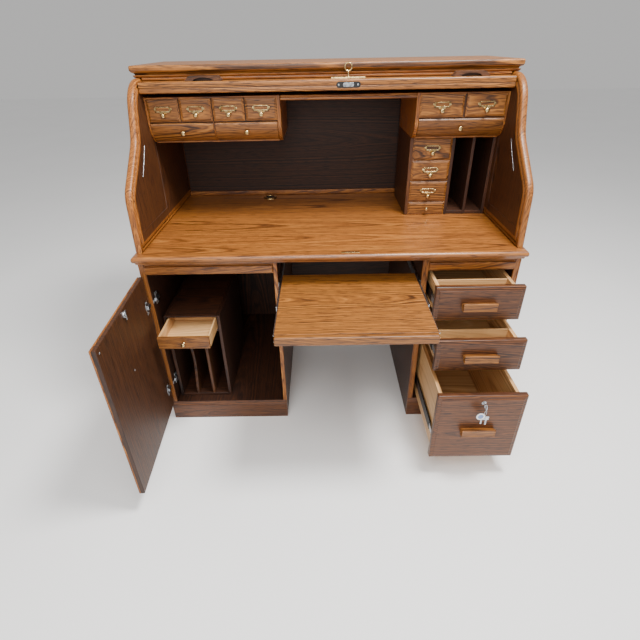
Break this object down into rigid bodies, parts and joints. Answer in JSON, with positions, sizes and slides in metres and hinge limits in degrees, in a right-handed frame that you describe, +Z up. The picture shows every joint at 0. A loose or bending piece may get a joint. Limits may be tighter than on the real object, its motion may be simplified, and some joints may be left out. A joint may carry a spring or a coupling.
{
  "type": "roll top desk",
  "caption": "Oak roll top desk: tambour roll top over drawer galleries, keyboard tray, door cabinet and drawers in two pedestals.",
  "frame": {"origin": "on the floor under the middle of the whole object, door, tray and drawers standing open", "axes": "+X to the desk's right side as the sitter faces it, +Y to the back, +Z up"},
  "size_m": [1.3608, 1.1898, 1.317],
  "materials": {
    "oak": "satin lacquered medium oak, open grain",
    "dark_oak": "satin lacquered oak veneer, in shade",
    "birch": "clear lacquered light birch",
    "steel": "zinc plated, slightly dark",
    "brass": "polished, lacquered"
  },
  "bodies": {
    "desk": {"desktop": "oak", "top_board": "oak", "end_panel_left": "oak", "end_panel_right": "oak", "inner_back": "dark_oak", "outer_back": "dark_oak", "left_pedestal_outer_side": "oak", "left_pedestal_inner_side": "dark_oak", "left_pedestal_back": "dark_oak", "left_pedestal_base": "oak", "right_pedestal_outer_side": "oak", "right_pedestal_inner_side": "dark_oak", "right_pedestal_back": "dark_oak", "right_pedestal_base": "oak", "modesty_panel": "dark_oak", "left_slide_frame": "oak", "right_slide_frame": "oak", "upper_drawer_rail": "oak", "lower_drawer_rail": "oak", "gallery_left_case": "oak", "gallery_right_case": "oak", "gallery_right_stack": "oak", "slot_case": "dark_oak", "lower_hinge_plate": "steel", "upper_hinge_plate": "steel"},
    "lift_bar": {"lift_bar": "oak"},
    "roll_top_key": {"roll_top_key": "brass"},
    "door": {"door": "oak"},
    "keyboard_tray": {"keyboard_tray": "oak"},
    "tray_runner_left": {"tray_runner_left": "steel"},
    "tray_runner_right": {"tray_runner_right": "steel"},
    "left_slide": {"left_slide": "oak"},
    "right_slide": {"right_slide": "oak"},
    "upper_drawer": {"upper_drawer": "oak", "upper_drawer_pull": "oak"},
    "middle_drawer": {"middle_drawer": "oak", "middle_drawer_pull": "oak"},
    "file_drawer": {"file_drawer": "oak", "file_drawer_pull": "oak"},
    "file_key": {"file_key": "steel"},
    "case_drawer": {"case_drawer": "birch"},
    "left_label_drawer_1": {"left_label_drawer_1": "oak"},
    "left_label_drawer_2": {"left_label_drawer_2": "oak"},
    "left_label_drawer_3": {"left_label_drawer_3": "oak"},
    "left_label_drawer_4": {"left_label_drawer_4": "oak"},
    "left_curved_drawer_1": {"left_curved_drawer_1": "oak"},
    "left_curved_drawer_2": {"left_curved_drawer_2": "oak"},
    "right_label_drawer_1": {"right_label_drawer_1": "oak"},
    "right_label_drawer_2": {"right_label_drawer_2": "oak"},
    "right_curved_drawer": {"right_curved_drawer": "oak"},
    "stack_drawer_1": {"stack_drawer_1": "oak"},
    "stack_drawer_2": {"stack_drawer_2": "oak"},
    "stack_drawer_3": {"stack_drawer_3": "oak"},
    "stack_drawer_4": {"stack_drawer_4": "oak"},
    "curtain_section_1": {"curtain_section_1": "oak"},
    "curtain_section_2": {"curtain_section_2": "oak"},
    "curtain_section_3": {"curtain_section_3": "oak"},
    "curtain_section_4": {"curtain_section_4": "oak"},
    "curtain_section_5": {"curtain_section_5": "oak"},
    "curtain_section_6": {"curtain_section_6": "oak"}
  },
  "joints": [
    {"name": "roll_top", "type": "hinge", "parent": "desk", "child": "lift_bar", "pos_m": [0, 0.28771, 0.87029], "axis": [1, 0, 0], "range_deg": [0, 85]},
    {"name": "curtain_section_1_track", "type": "hinge", "parent": "desk", "child": "curtain_section_1", "pos_m": [0, 0.28899, 0.86912], "axis": [1, 0, 0], "range_deg": [0, 84.74], "deforming": ["curtain_section_1"]},
    {"name": "curtain_section_2_track", "type": "hinge", "parent": "desk", "child": "curtain_section_2", "pos_m": [0, 0.46165, 0.64484], "axis": [1, 0, 0], "range_deg": [0, 49.26], "deforming": ["curtain_section_2"]},
    {"name": "curtain_section_3_track", "type": "hinge", "parent": "desk", "child": "curtain_section_3", "pos_m": [0, 0.5176, 0.55381], "axis": [1, 0, 0], "range_deg": [0, 42.07], "deforming": ["curtain_section_3"]},
    {"name": "curtain_section_4_track", "type": "hinge", "parent": "desk", "child": "curtain_section_4", "pos_m": [0, 0.38052, 0.90349], "axis": [1, 0, 0], "range_deg": [0, 84.04], "deforming": ["curtain_section_4"]},
    {"name": "curtain_section_5_track", "type": "hinge", "parent": "desk", "child": "curtain_section_5", "pos_m": [0, 0.33881, 1.12638], "axis": [1, 0, 0], "range_deg": [0, 155.45], "deforming": ["curtain_section_5"]},
    {"name": "curtain_section_6_track", "type": "hinge", "parent": "desk", "child": "curtain_section_6", "pos_m": [0, 0.31277, 1.01525], "axis": [1, 0, 0], "range_deg": [0, 109.36], "deforming": ["curtain_section_6"]},
    {"name": "roll_top_key_turn", "type": "hinge", "parent": "lift_bar", "child": "roll_top_key", "pos_m": [0.074, 0.16797, 1.288], "axis": [0, 0, 1], "range_deg": [0, 90]},
    {"name": "door_hinge", "type": "hinge", "parent": "desk", "child": "door", "pos_m": [-0.669, -0.12603, 0.38625], "axis": [0, 0, 1], "range_deg": [0, 87]},
    {"name": "case_drawer_slide", "type": "slide", "parent": "desk", "child": "case_drawer", "axis": [0, 1, 0], "range_m": [0, 0.1651]},
    {"name": "keyboard_tray_slide", "type": "slide", "parent": "desk", "child": "keyboard_tray", "axis": [0, 1, 0], "range_m": [-0.03, 0.3535]},
    {"name": "tray_runner_left_slide", "type": "slide", "parent": "desk", "child": "tray_runner_left", "axis": [0, 1, 0], "range_m": [-0.0151, 0.17685]},
    {"name": "tray_runner_right_slide", "type": "slide", "parent": "desk", "child": "tray_runner_right", "axis": [0, 1, 0], "range_m": [-0.0151, 0.17685]},
    {"name": "left_slide_pull", "type": "slide", "parent": "desk", "child": "left_slide", "axis": [0, 1, 0], "range_m": [-0.3, 0]},
    {"name": "right_slide_pull", "type": "slide", "parent": "desk", "child": "right_slide", "axis": [0, 1, 0], "range_m": [-0.3, 0]},
    {"name": "upper_drawer_slide", "type": "slide", "parent": "desk", "child": "upper_drawer", "axis": [0, 1, 0], "range_m": [-0.275, 0.125]},
    {"name": "middle_drawer_slide", "type": "slide", "parent": "desk", "child": "middle_drawer", "axis": [0, 1, 0], "range_m": [-0.18, 0.22]},
    {"name": "file_drawer_slide", "type": "slide", "parent": "desk", "child": "file_drawer", "axis": [0, 1, 0], "range_m": [-0.131, 0.319]},
    {"name": "file_key_turn", "type": "hinge", "parent": "file_drawer", "child": "file_key", "pos_m": [0.504, -0.46803, 0.353], "axis": [0, 1, 0], "range_deg": [0, 90]},
    {"name": "left_label_drawer_1_slide", "type": "slide", "parent": "desk", "child": "left_label_drawer_1", "axis": [0, 1, 0], "range_m": [-0.15, 0]},
    {"name": "left_label_drawer_2_slide", "type": "slide", "parent": "desk", "child": "left_label_drawer_2", "axis": [0, 1, 0], "range_m": [-0.15, 0]},
    {"name": "left_label_drawer_3_slide", "type": "slide", "parent": "desk", "child": "left_label_drawer_3", "axis": [0, 1, 0], "range_m": [-0.15, 0]},
    {"name": "left_label_drawer_4_slide", "type": "slide", "parent": "desk", "child": "left_label_drawer_4", "axis": [0, 1, 0], "range_m": [-0.15, 0]},
    {"name": "left_curved_drawer_1_slide", "type": "slide", "parent": "desk", "child": "left_curved_drawer_1", "axis": [0, 1, 0], "range_m": [-0.15, 0]},
    {"name": "left_curved_drawer_2_slide", "type": "slide", "parent": "desk", "child": "left_curved_drawer_2", "axis": [0, 1, 0], "range_m": [-0.15, 0]},
    {"name": "right_label_drawer_1_slide", "type": "slide", "parent": "desk", "child": "right_label_drawer_1", "axis": [0, 1, 0], "range_m": [-0.15, 0]},
    {"name": "right_label_drawer_2_slide", "type": "slide", "parent": "desk", "child": "right_label_drawer_2", "axis": [0, 1, 0], "range_m": [-0.15, 0]},
    {"name": "right_curved_drawer_slide", "type": "slide", "parent": "desk", "child": "right_curved_drawer", "axis": [0, 1, 0], "range_m": [-0.15, 0]},
    {"name": "stack_drawer_1_slide", "type": "slide", "parent": "desk", "child": "stack_drawer_1", "axis": [0, 1, 0], "range_m": [-0.15, 0]},
    {"name": "stack_drawer_2_slide", "type": "slide", "parent": "desk", "child": "stack_drawer_2", "axis": [0, 1, 0], "range_m": [-0.15, 0]},
    {"name": "stack_drawer_3_slide", "type": "slide", "parent": "desk", "child": "stack_drawer_3", "axis": [0, 1, 0], "range_m": [-0.15, 0]},
    {"name": "stack_drawer_4_slide", "type": "slide", "parent": "desk", "child": "stack_drawer_4", "axis": [0, 1, 0], "range_m": [-0.15, 0]}
  ],
  "couplings": [
    {"joint": "curtain_section_1_track", "follows": "roll_top", "ratio": 0.99681},
    {"joint": "curtain_section_2_track", "follows": "roll_top", "ratio": 0.57939},
    {"joint": "curtain_section_3_track", "follows": "roll_top", "ratio": 0.49487},
    {"joint": "curtain_section_4_track", "follows": "roll_top", "ratio": 0.98861},
    {"joint": "curtain_section_5_track", "follows": "roll_top", "ratio": 1.8287},
    {"joint": "curtain_section_6_track", "follows": "roll_top", "ratio": 1.2865},
    {"joint": "case_drawer_slide", "follows": "door_hinge", "m_per_rad": 0.10866},
    {"joint": "tray_runner_left_slide", "follows": "keyboard_tray_slide", "ratio": 0.5},
    {"joint": "tray_runner_right_slide", "follows": "keyboard_tray_slide", "ratio": 0.5}
  ]
}
